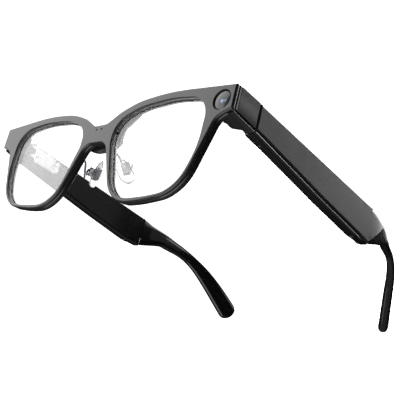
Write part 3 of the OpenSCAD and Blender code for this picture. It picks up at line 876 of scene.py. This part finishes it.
# ------------------------------------------------------------------ the front
@dataclass(frozen=True)
class Front:
    """The satin front cover, the dark seam and the rear frame with its end blocks."""

    half_width: float = 73.1
    cover: float = 1.3  # depth where the satin cover ends
    seam: float = 1.55  # depth where the rear frame starts
    back: float = 4.3  # depth of the rims' back
    gap: float = 13.4  # depth where the end covers end and the temples start
    side: float = 74.3  # the end covers' outer face at that depth
    camera: Point = (67.2, 5.5)
    camera_hole: float = 4.1
    sensors: tuple[Point, ...] = ((-1.6, 2.0), (1.6, 2.0))
    sensor_hole: float = 0.4
    lens: Point = (1.6, 2.6)  # depths of each lens's front and back
    guide: Point = (2.65, 3.45)  # depths of each waveguide's front and back
    end_top: float = 10.9
    end_low: float = 0.3
    end_fall: Point = (1.5, 2.6)  # how far the end block's top and underside fall to the gap
    end_sides: Point = (62.5, 71.6)  # its inner and outer side at the rim
    end_depths: tuple[float, ...] = (1.6, 2.9, 4.3, 5.0, 6.0, 7.2, 8.4, 9.6, 10.4, 10.9, 11.3,
                                     12.2, 12.8, 12.95)
    housing: Point = (4.2, 8.4)  # depths of the engine housing's root and back
    half: tuple[Corner, ...] = (
        (4.0, 4.4, 6), (11.3, 8.8, 15), (20.5, 12.2, 42), (38, 14.1, 120), (73.1, 11.4, 0.8),
        (73.1, 1.2, 0.7), (66.2, -1.2, 5.5), (55.9, -29.8, 18), (35.5, -32.5, 80),
        (18.7, -32.5, 17), (6.4, -4.4, 5.5))
    opening: tuple[Corner, ...] = (
        (10.2, 4.1, 9.5), (22.9, 9.2, 38), (41.3, 10.3, 55), (60.5, 7.9, 10), (60.4, -12.6, 30),
        (53.8, -28.6, 15), (38.3, -30.5, 80), (18.9, -30.8, 15.5), (10.1, -5.0, 8))

    def outline(self) -> np.ndarray:
        """The whole front's outline."""
        return rounded(list(self.half) + mirrored(self.half))

    def lens_loop(self, side: Side) -> np.ndarray:
        """One lens opening."""
        return rounded(self.opening) * np.array([side.value, 1])

    def lens_loops(self) -> list[np.ndarray]:
        """Both lens openings."""
        return [self.lens_loop(side) for side in Side]

    def make_cover(self) -> bpy.types.Object:
        """The satin cover with its wide outer bevel and fine inner one.

        Returns:
            The finished cover.
        """
        back_edge = [(0, 1.2), (0.05, 1.28), (0.12, self.cover)]
        outer = [(0.78, 0), (0.74, 0), (0.54, 0.06), (0.32, 0.19), (0.13, 0.38), (0, 0.62)]
        inner = [(0.36, 0), (0.32, 0), (0.17, 0.05), (0.05, 0.15), (0, 0.32)]
        window = [(0.24, 0), (0.2, 0), (0.08, 0.05), (0, 0.2), (0, self.cover)]
        pinhole = [(0.12, 0), (0.1, 0), (0.03, 0.03), (0, 0.12), (0, self.cover)]
        solid = Solid().plate(
            [(self.outline(), outer + back_edge)]
            + [(loop, inner + back_edge) for loop in self.lens_loops()]
            + [(circle(*self.camera, self.camera_hole), window)]
            + [(circle(*at, self.sensor_hole, 24), pinhole) for at in self.sensors])
        return settle(solid.make("front_cover_finished", COVER), "front", "satin_black",
                      "front_cover")

    def make_frame(self) -> bpy.types.Object:
        """The rear frame: rim, end blocks and the ledges under the end covers.

        Returns:
            The finished frame.
        """
        outer = [(0.7, self.seam), (0.5, self.seam), (0.44, 1.57), (0.03, 1.98), (0, 2.06), (0, 3.5),
                 (0.06, 3.8), (0.24, 4.08), (0.55, 4.26), (0.85, self.back), (0.9, self.back)]
        inner = [(0.7, self.seam), (0.6, self.seam), (0.55, 1.6), (0.55, 3.5), (0.05, 3.5),
                 (0, 3.55), (0, 4.0), (0.08, 4.2), (0.28, self.back), (0.34, self.back)]
        solid = Solid().plate([(self.outline(), outer)]
                              + [(loop, inner) for loop in self.lens_loops()]
                              + [(circle(*self.camera, self.camera_hole + 0.1),
                                  [(0, self.seam), (0, self.back)])])
        for side in Side:
            solid.loft(self.end_rings() * np.array([side.value, 1, 1]))
            solid.loft(self.ledge_rings() * np.array([side.value, 1, 1]))
        return settle(solid.make("rear_frame_finished", RIM), "front", "satin_black",
                      "rear_frame")

    def end_rings(self) -> np.ndarray:
        """Sections of the left end block, from the rim back to the hinge.

        Returns:
            One ring of points for each depth.
        """
        rings = []
        for y in self.end_depths:
            share = (y - self.seam) / (self.gap - self.seam)
            # The inner side steps outwards behind the lens, and again beside the hinge.
            inner = (self.end_sides[0] + 2.6 * smooth_step((y - 3.8) / 3.5)
                     + 4.6 * smooth_step((y - 9.2) / 2.6))
            outer = self.end_sides[1] + 1.5 * max(0.0, y - 2.9) / 10.1
            top = self.end_top - self.end_fall[0] * share
            low = self.end_low - self.end_fall[1] * share
            trim = 0.25 * max(0.0, (y - 12.75) / 0.2)
            r = min(1.1, (outer - inner) / 3)
            rings.append(ring_at(rounded(
                [(inner + trim, low + trim, r), (outer - trim, low + trim, 0.4),
                 (outer - trim, top - trim, 0.6), (inner + trim, top - trim, r)], 18), y))
        return np.array(rings)

    def ledge_rings(self) -> np.ndarray:
        """Sections of the ledge under the left end cover.

        Returns:
            One ring of points for each depth.
        """
        rings = []
        for y in np.linspace(self.seam + 0.05, self.gap - 0.45, 12):
            share = (y - self.seam) / (self.gap - 0.4 - self.seam)
            outer = self.half_width - 0.1 + share * (self.side - self.half_width + 0.1)
            top = 0.9 - 2.5 * share
            low = self.end_low - self.end_fall[1] * share
            rings.append(ring_at(rounded(
                [(70, low, 0.05), (outer, low, 0.12), (outer, top, 0.2), (70, top, 0.05)], 25), y))
        return np.array(rings)

    def make_lens(self, side: Side) -> bpy.types.Object:
        """One clear lens, held in the rim's groove.

        Args:
            side: the wearer's side.

        Returns:
            The finished lens.
        """
        loop = self.lens_loop(side)
        solid = polished_plate(loop - inward(loop) * 0.5, *self.lens, 0.12)
        return settle(solid.make(f"lens_{side.word}_polished", LENS), "front", "clear_lens",
                      f"lens_{side.word}")

    def make_guide(self, side: Side) -> bpy.types.Object:
        """One waveguide plate behind its lens.

        Args:
            side: the wearer's side.

        Returns:
            The finished plate.
        """
        loop = self.lens_loop(side)
        solid = polished_plate(loop - inward(loop) * 0.48, *self.guide, 0.07)
        return settle(solid.make(f"waveguide_{side.word}_polished", GUIDE), "front",
                      "waveguide_glass", f"waveguide_{side.word}")

    def make_window(self) -> bpy.types.Object:
        """The camera's domed window.

        Returns:
            The finished window.
        """
        dome, rim = 14.0, 3.95
        radii = [0.02, 0.5, 1, 1.5, 2, 2.5, 3, 3.4, 3.7]
        depths = [dome - math.sqrt(dome**2 - r**2) for r in radii]
        radii += [3.85, rim, rim, 3.8]
        depths += [0.56, 0.68, 1.6, 1.7]
        rings = np.array([ring_at(circle(*self.camera, r, 96), y) for r, y in zip(radii, depths)])
        finish = WindowGlass("camera_glass", self.camera, self.camera_hole)
        window = Solid().loft(rings).make("camera_window_glass", finish)
        return settle(window, "front", "camera_glass", "camera_window")

    def make_housing(self) -> bpy.types.Object:
        """The display engine's housing, blended into the brow behind the bridge.

        Returns:
            The finished housing.
        """
        face = [(4.0, 4.6, 5), (10.8, 8.6, 6), (19.5, 11.4, 0.3), (19.5, 10.2, 0.3),
                (12.6, 5.0, 6), (11.4, -2.4, 2), (6.4, -6.0, 2)]
        loop = rounded(face + mirrored(face), 6)
        root, back = self.housing
        middle = np.array([0.0, 2.0])
        rings = []
        for turn in np.linspace(0, math.pi / 2, 15):
            close = 1 - math.cos(turn)
            shrink = np.array([1 - 0.36 * close**0.8, 1 - 0.16 * close])
            rings.append(ring_at(middle + (loop - middle) * shrink,
                                 root + (back - root) * math.sin(turn)))
        housing = Solid().loft(np.array(rings)).make("engine_housing_blended", RIM, 50)
        return settle(housing, "front", "satin_black", "engine_housing")

    def build(self) -> None:
        """Builds the whole front."""
        self.make_cover()
        self.make_frame()
        self.make_window()
        self.make_housing()
        for side in Side:
            self.make_lens(side)
            self.make_guide(side)
            cover = carried(f"end_cover_{side.word}", f"end_cover_{side.word}_finished", COVER, 0.3)
            settle(cover, "front", "satin_black", f"end_cover_{side.word}")
        dress("front_gasket", INNER)
        dress("light_sensor", GLOSS)
        dress("camera_barrel", GLOSS)
        dress("camera_board", PCB)
        dress("light_engine", CAN)


# ------------------------------------------------------------------ nose pads
@dataclass(frozen=True)
class NosePads:
    """Silicone pads on metal boxes at the ends of bent wire arms."""

    at: Place = (9.2, 12.4, -12.7)
    lean: float = 28.0  # the pad's turns about X, Z and its own Y, in degrees
    flare: float = -25.0
    spread: float = -32.0
    length: float = 13.0
    width: float = 7.6
    thick: float = 2.6
    wire: float = 0.5  # the arms' radius
    path: tuple[Place, ...] = (
        (11.3, 2, -9.6), (11.2, 4.3, -8.8), (11.3, 6.2, -9.6), (12.6, 8, -12.6),
        (13.9, 9.6, -14.6), (14.8, 10.8, -13.2), (14.6, 10.8, -11), (13.6, 11.4, -10.2),
        (12.6, 12, -10.6))

    def placing(self) -> Matrix:
        """The left pad's place.

        Returns:
            A matrix from the pad's own axes, Z along the pad and X away from the nose.
        """
        turns = ((self.lean, "X"), (self.flare, "Z"), (self.spread, "Y"))
        placed = Matrix.Translation(self.at)
        for degrees, axis in turns:
            placed = placed @ Matrix.Rotation(math.radians(degrees), 4, axis)
        return placed

    def make_pad(self, side: Side) -> bpy.types.Object:
        """One soft pad, dished on the nose's side.

        Args:
            side: the wearer's side.

        Returns:
            The finished pad.
        """
        turns = np.linspace(0, 2 * math.pi, 64, endpoint=False)
        taper = 1 - 0.12 * np.sin(turns)
        rim_y = self.width / 2 * np.cos(turns) * taper
        rim_z = self.length / 2 * np.sin(turns)
        rings = []
        for lean in np.radians([-88, -80, -68, -55, -40, -22, 0, 22, 40, 55, 68, 80, 88]):
            reach = math.cos(lean) ** 0.42
            depth = self.thick / 2 * math.sin(lean) + 0.25 * reach**2 - 0.1
            rings.append(np.stack([np.full(len(turns), depth), rim_y * reach, rim_z * reach], 1))
        pad = Solid().loft(np.array(rings)).turned(self.placing()).on(side)
        made = settle(pad.make(f"nose_pad_{side.word}_soft", PAD, 60), f"pad_{side.word}",
                      "silicone", f"nose_pad_{side.word}")
        return made

    def make_arm(self, side: Side) -> bpy.types.Object:
        """One wire arm, swept smoothly.

        Args:
            side: the wearer's side.

        Returns:
            The finished arm.
        """
        places = np.linspace(0, len(self.path) - 3, 57)
        line = spline(np.array(self.path, float), places)
        along = np.gradient(line, axis=0)
        along /= np.linalg.norm(along, axis=1)[:, None]
        across = np.cross(along, [1, 0.2, 0.1])
        across /= np.linalg.norm(across, axis=1)[:, None]
        over = np.cross(along, across)
        turns = np.linspace(0, 2 * math.pi, 20, endpoint=False)
        rings = (line[:, None] + self.wire * (np.cos(turns)[None, :, None] * across[:, None]
                                              + np.sin(turns)[None, :, None] * over[:, None]))
        arm = Solid().loft(rings).on(side)
        return settle(arm.make(f"pad_arm_{side.word}_bent", DARK_STEEL, 50), "front", "steel",
                      f"pad_arm_{side.word}")

    def build(self) -> None:
        """Builds both pads with their metal."""
        for side in Side:
            word = side.word
            self.make_pad(side)
            self.make_arm(side)
            settle(carried(f"pad_box_{word}", f"pad_box_{word}_finished", DARK_STEEL, 0.12),
                   "front", "steel", f"pad_box_{word}")
            settle(carried(f"pad_core_{word}", f"pad_core_{word}_finished", DARK_STEEL, 0.1),
                   f"pad_{word}", "steel", f"pad_core_{word}")


# ------------------------------------------------------------------ temples
@dataclass(frozen=True)
class Temple:
    """One temple: the satin cover that runs on over the ear tip, the shell, the tip."""

    side: Side
    at: float = 74.3  # the outer face at the gap
    gap: float = 13.4  # depth where the temple starts
    splay: float = 1.4  # degrees that the temple leans inwards
    end: float = 98.0  # where the cover's plate meets the ear tip's root
    rib: Point = (0.2, 0.35)  # thickness and height of the ribs in the sound openings
    cover_corners: tuple[Corner, ...] = (
        (13.6, 9.976, 0.4), (98, 2.38, 0.3), (98, -14.0, 0.3), (89, -12.6, 8), (60, -8.4, 90),
        (13.6, -0.6, 0.4))
    shell_corners: tuple[Corner, ...] = (
        (13.6, 9.976, 0.4), (99.4, 2.25, 0.3), (99.4, -14.5, 0.3), (88, -14.3, 20), (60, -10.3, 90),
        (13.6, -2.5, 0.4))

    def placing(self) -> Matrix:
        """The left temple's place.

        Returns:
            A matrix from plate axes: along the temple, inwards through it, and up.
        """
        lay = Matrix(((0, -1, 0, 0), (1, 0, 0, 0), (0, 0, 1, 0), (0, 0, 0, 1)))
        return (Matrix.Translation((self.at, self.gap, 0))
                @ Matrix.Rotation(math.radians(-self.splay), 4, "Z")
                @ Matrix.Translation((0, -self.gap, 0)) @ lay)

    def make_shell(self) -> bpy.types.Object:
        """The inner shell with rounded inner edges.

        Returns:
            The finished shell.
        """
        profile = [(0.1, 1.05), (0, 1.15), (0, 3.9), (0.05, 4.3), (0.2, 4.8), (0.5, 5.25),
                   (0.95, 5.6), (1.35, 5.7), (1.45, 5.7)]
        loop = rounded(self.shell_corners, 5)
        solid = Solid().plate([(loop, profile)])
        ledge = rounded([(13.6, -1.4, 0.1), (60, -9.2, 60), (88, -13.3, 30), (93.5, -14.3, 0.05),
                         (88, -14.1, 20), (60, -10.0, 60), (13.6, -2.2, 0.1)], 4)
        solid.plate([(ledge, [(0.2, 0.05), (0.06, 0.09), (0, 0.2), (0, 1.2)])])
        shell = solid.turned(self.placing()).on(self.side)
        return settle(shell.make(f"temple_inner_{self.side.word}_finished", GLOSS),
                      self.side.temple, "gloss_black_shell", f"temple_inner_{self.side.word}")

    def make_ribbed(self, node: str, repeater: Repeater, start: Sequence[float],
                    step: Sequence[float], count: int, width: float) -> bpy.types.Object:
        """A metal insert of the underside with ribs across it.

        Args:
            node: the CAD node's name without its side.
            repeater: the node group that repeats a rib.
            start: the first rib's middle in plate axes.
            step: from one rib to the next.
            count: how many ribs there are.
            width: the ribs' length across the temple.

        Returns:
            The finished piece.
        """
        name = f"{node}_{self.side.word}"
        flip = Vector((self.side.value, 1, 1))
        place = self.placing()
        ribs = repeater.bake(
            Count=count, Start=(place @ Vector(start)) * flip * MM,
            Step=(place.to_3x3() @ Vector(step)) * flip * MM,
            Size=Vector((width, *self.rib)) * MM, Finish=CAN.material())
        piece = with_ribs(name, f"{name}_ribbed", CAN, ribs)
        return settle(piece, self.side.temple, "steel", name)

    def build(self) -> None:
        """Builds the temple with everything that rides on it."""
        word = self.side.word
        repeater = Repeater(f"ribs_{word}")
        self.make_ribbed("speaker_grille", repeater, (84.4, 2.8, -13.55), (0.43, 0, -0.06), 13, 1.5)
        self.make_ribbed("mic_mesh", repeater, (20.6, 3.2, -3.55), (0.4, 0, -0.068), 3, 0.9)
        self.make_shell()
        EarTip(self.side).build(self)
        for part, body in (("hinge_temple", self.side.temple), ("hinge_screw", self.side.temple),
                           ("hinge_front", "front"), ("hinge_pin", "front")):
            node = f"{part}_{word}"
            settle(carried(node, f"{node}_finished", STEEL, 0.1), body, "steel", node)
        dress(f"tip_core_{word}", STEEL)
        dress(f"battery_{word}", FOIL)
        dress(f"speaker_{word}", CAN)


@dataclass(frozen=True)
class EarTip:
    """The glossy ear tip and the satin cap over its root."""

    side: Side
    path: tuple[Place, ...] = (
        (73.06, 90.15, -3.4), (73.5, 98.15, -2.5), (73.5, 107, -3.4), (72.5, 117, -4.6),
        (71.1, 124, -5.8), (69.3, 131, -7.2), (66.9, 138, -9.8), (63.8, 145, -14.0),
        (60.0, 152, -19.9), (56.2, 159, -26.7), (52.8, 165.2, -33.2), (49.8, 170.5, -39))
    end: float = 9.0  # the last place, each place being one point further along the path
    cap: float = 4.6  # how far the rounded end stands past it
    height: float = 9.0
    width: float = 5.4
    waist_at: float = 4.6
    waist_spread: float = 1.9
    waist: Point = (1.2, 2.2)  # how much narrower and lower the waist is
    paddle: float = 2.2  # how much higher the paddle behind the waist is
    root_drop: float = 7.6  # how much deeper the root is, to meet the temple
    root_end: float = 2.1
    satin_end: float = 2.75  # where the satin cover's point ends

    def at(self, s: np.ndarray) -> np.ndarray:
        """The centre line at places s."""
        return spline(np.array(self.path, float), s)

    def half_sizes(self, s: float) -> tuple[float, float, float]:
        """The section's sizes.

        Args:
            s: the place along the tip.

        Returns:
            Half its width, half its height and the extra depth below.
        """
        waist = math.exp(-((s - self.waist_at) / self.waist_spread) ** 2)
        paddle = float(smooth_step((s - 5) / 4))
        root = max(0.0, min(1.0, s / self.root_end))
        drop = self.root_drop * (1 - root**1.4) ** 1.3
        return ((self.width - self.waist[0] * waist) / 2,
                (self.height - self.waist[1] * waist + self.paddle * paddle) / 2, drop)

    def ring(self, s: float, angles: np.ndarray, grow: np.ndarray | float = 0.0,
             scale: float = 1.0, shift: float = 0.0) -> np.ndarray:
        """Points on the section at one place.

        Args:
            s: the place along the tip.
            angles: where on the section, from the outer side down.
            grow: how far the points stand off the surface.
            scale: size of the whole section.
            shift: how far the section moves along the tip.

        Returns:
            One point for each angle.
        """
        centre = self.at(np.array([s]))[0]
        step = self.at(np.array([s - 0.02, s + 0.02]))
        along = (step[1] - step[0]) / np.linalg.norm(step[1] - step[0])
        out = np.array([along[1], -along[0], 0])
        out /= np.linalg.norm(out)
        down = np.cross(along, out)
        half_width, half_height, drop = self.half_sizes(s)
        cos, sin = np.cos(angles), np.sin(angles)
        # The section is squarer at the root, where it follows the temple's.
        root = 1 - float(smooth_step(s / 1.4)) if s > 0 else 1.0
        power = 0.7 - 0.3 * root
        across = np.sign(cos) * np.abs(cos) ** power * (half_width + 0.13 * root + grow)
        reach = half_height + grow + np.where(sin > 0, drop, 0)
        below = np.sign(sin) * np.abs(sin) ** power * reach
        return centre + along * shift + scale * (across[:, None] * out + below[:, None] * down)

    def make_tip(self) -> bpy.types.Object:
        """The glossy tip with its rounded end.

        Returns:
            The finished tip.
        """
        angles = np.linspace(0, 2 * math.pi, 64, endpoint=False)
        rings = [self.ring(s, angles) for s in np.linspace(0, self.end, 91)]
        rings += [self.ring(self.end, angles, 0, math.cos(a), self.cap * math.sin(a))
                  for a in np.radians(np.linspace(6, 86, 15))]
        tip = Solid().loft(np.array(rings)).on(self.side)
        return settle(tip.make(f"ear_tip_{self.side.word}_moulded", GLOSS, 40),
                      self.side.temple, "ear_tip", f"ear_tip_{self.side.word}")

    def make_cover(self, temple: Temple) -> bpy.types.Object:
        """The satin outer cover and its tapering end over the tip's root.

        Args:
            temple: the temple that the cover belongs to.

        Returns:
            The finished cover.
        """
        profile = [(1.0, 0), (0.95, 0), (0.66, 0.06), (0.4, 0.19), (0.18, 0.39), (0.04, 0.65),
                   (0, 0.85), (0, 0.96), (0.03, 1.0)]
        solid = Solid().plate([(rounded(temple.cover_corners, 5), profile)])
        for points in solid.points:
            points[:, 0] = np.where(points[:, 0] > temple.end - 1.1, temple.end, points[:, 0])
        solid.turned(temple.placing())
        rings = []
        for s in np.linspace(-0.02, self.satin_end, 60):
            share = s / self.satin_end
            low = math.radians(66 - 136 * max(share, 0.0) ** 0.85)
            high = math.radians(-100 - 60 * share)
            angles = np.linspace(low, high, 40)
            edge = np.minimum(np.arange(40), np.arange(39, -1, -1))
            lift = 0.02 + 0.02 * smooth_step(edge / 3)
            rings.append(np.concatenate([self.ring(s, angles, lift),
                                         self.ring(s, angles[::-1], -0.08)]))
        solid.loft(np.array(rings))
        cover = solid.on(self.side)
        return settle(cover.make(f"temple_cover_{self.side.word}_satin", COVER, 40),
                      self.side.temple, "satin_black", f"temple_outer_{self.side.word}")

    def build(self, temple: Temple) -> None:
        """Builds the tip and the cover."""
        self.make_tip()
        self.make_cover(temple)


@dataclass(frozen=True)
class RightExtras:
    """What only the right temple carries: button, touch sensor, charging contacts, board."""

    def build(self) -> None:
        """Finishes the pieces."""
        button = carried("capture_button", "capture_button_finished", SATIN, 0.2)
        settle(button, "button", "satin_black", "capture_button")
        contacts = carried("charging_contacts", "charging_contacts_finished", GOLD, 0.08)
        settle(contacts, "temple_right", "gold_contact", "charging_contacts")
        dress("touch_strip", FILM)
        dress("main_board", PCB)
        dress("sensor_board", PCB)


# ------------------------------------------------------------------ studio
@dataclass(frozen=True)
class SoftLight:
    """A soft square light, aimed at the glasses from one direction.

    The size and distance are in metres, and the power in watts.
    """

    name: str
    toward: Place
    size: float
    power: float
    distance: float = 0.9
    middle: Place = (0.03, 0.05, -0.01)

    def build(self) -> None:
        """Makes the light, unseen by the camera itself."""
        data = bpy.data.lights.new(self.name, "AREA")
        data.size = self.size
        data.energy = self.power
        light = bpy.data.objects.new(self.name, data)
        arm = Vector(self.toward).normalized() * self.distance
        light.location = Vector(self.middle) + arm
        light.rotation_euler = arm.to_track_quat("Z", "Y").to_euler()
        light.visible_camera = False
        light.visible_transmission = False
        bpy.context.scene.collection.objects.link(light)


@dataclass(frozen=True)
class Studio:
    """Floor, lights and camera, in metres and degrees."""

    eye: Place = (0.22991, -0.16067, -0.1072)
    turn: Place = (108.3965, -12.9143, 40.8942)
    focal: float = 63.44
    floor_height: float = -1.3
    floor_half: float = 9.0
    backdrop: float = 1.5
    ambient: float = 0.03
    lights: tuple[SoftLight, ...] = (
        SoftLight("front_softbox", (-0.77, -0.55, 0.32), 1.0, 9.0),
        SoftLight("side_softbox", (0.46, 0.78, 0.42), 0.24, 0.3),
        SoftLight("end_softbox", (0.78, 0.45, 0.44), 0.2, 0.45),
        SoftLight("inner_softbox", (0.80, 0.54, 0.26), 0.4, 0.12),
        SoftLight("low_softbox", (0.0, -0.62, -0.75), 1.0, 7.0),
        SoftLight("back_softbox", (-0.2, 0.74, 0.64), 1.1, 34.0),
        SoftLight("brow_softbox", (-0.67, 0.15, 0.73), 0.7, 8.0))

    def make_camera(self) -> None:
        """The camera at the viewing angle."""
        data = bpy.data.cameras.new("camera")
        data.lens = self.focal
        data.clip_start = 0.01
        camera = bpy.data.objects.new("camera", data)
        camera.location = self.eye
        camera.rotation_euler = [math.radians(degrees) for degrees in self.turn]
        bpy.context.scene.collection.objects.link(camera)
        bpy.context.scene.camera = camera

    def make_world(self) -> None:
        """Even white behind the glasses and dim grey light all round."""
        world = bpy.data.worlds.new("studio")
        bpy.context.scene.world = world
        world.use_nodes = True
        pen = NodePen(world.node_tree)
        seen = pen.seen()
        strength = seen * self.backdrop + (1.0 - seen) * self.ambient
        pen.finish(pen.node("ShaderNodeBackground", None,
                            {"Color": (1.0, 1.0, 1.0, 1.0), "Strength": strength}),
                   "ShaderNodeOutputWorld")

    def build(self) -> None:
        """Builds the whole studio."""
        floor = Solid()
        reach = self.floor_half / MM
        floor.add_points(np.array([(x, y, self.floor_height / MM) for x, y in (
            (-reach, -reach), (reach, -reach), (reach, reach), (-reach, reach))]))
        floor.faces.append((0, 1, 2, 3))
        floor.make("studio_floor", FLOOR)
        for light in self.lights:
            light.build()
        self.make_camera()
        self.make_world()
        bpy.context.scene.view_settings.view_transform = "Standard"


def main() -> None:
    logging.basicConfig(level=logging.INFO, format="%(message)s")
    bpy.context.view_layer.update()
    Front().build()
    NosePads().build()
    for side in Side:
        Temple(side).build()
    RightExtras().build()
    Studio().build()


if __name__ == "__main__":
    main()
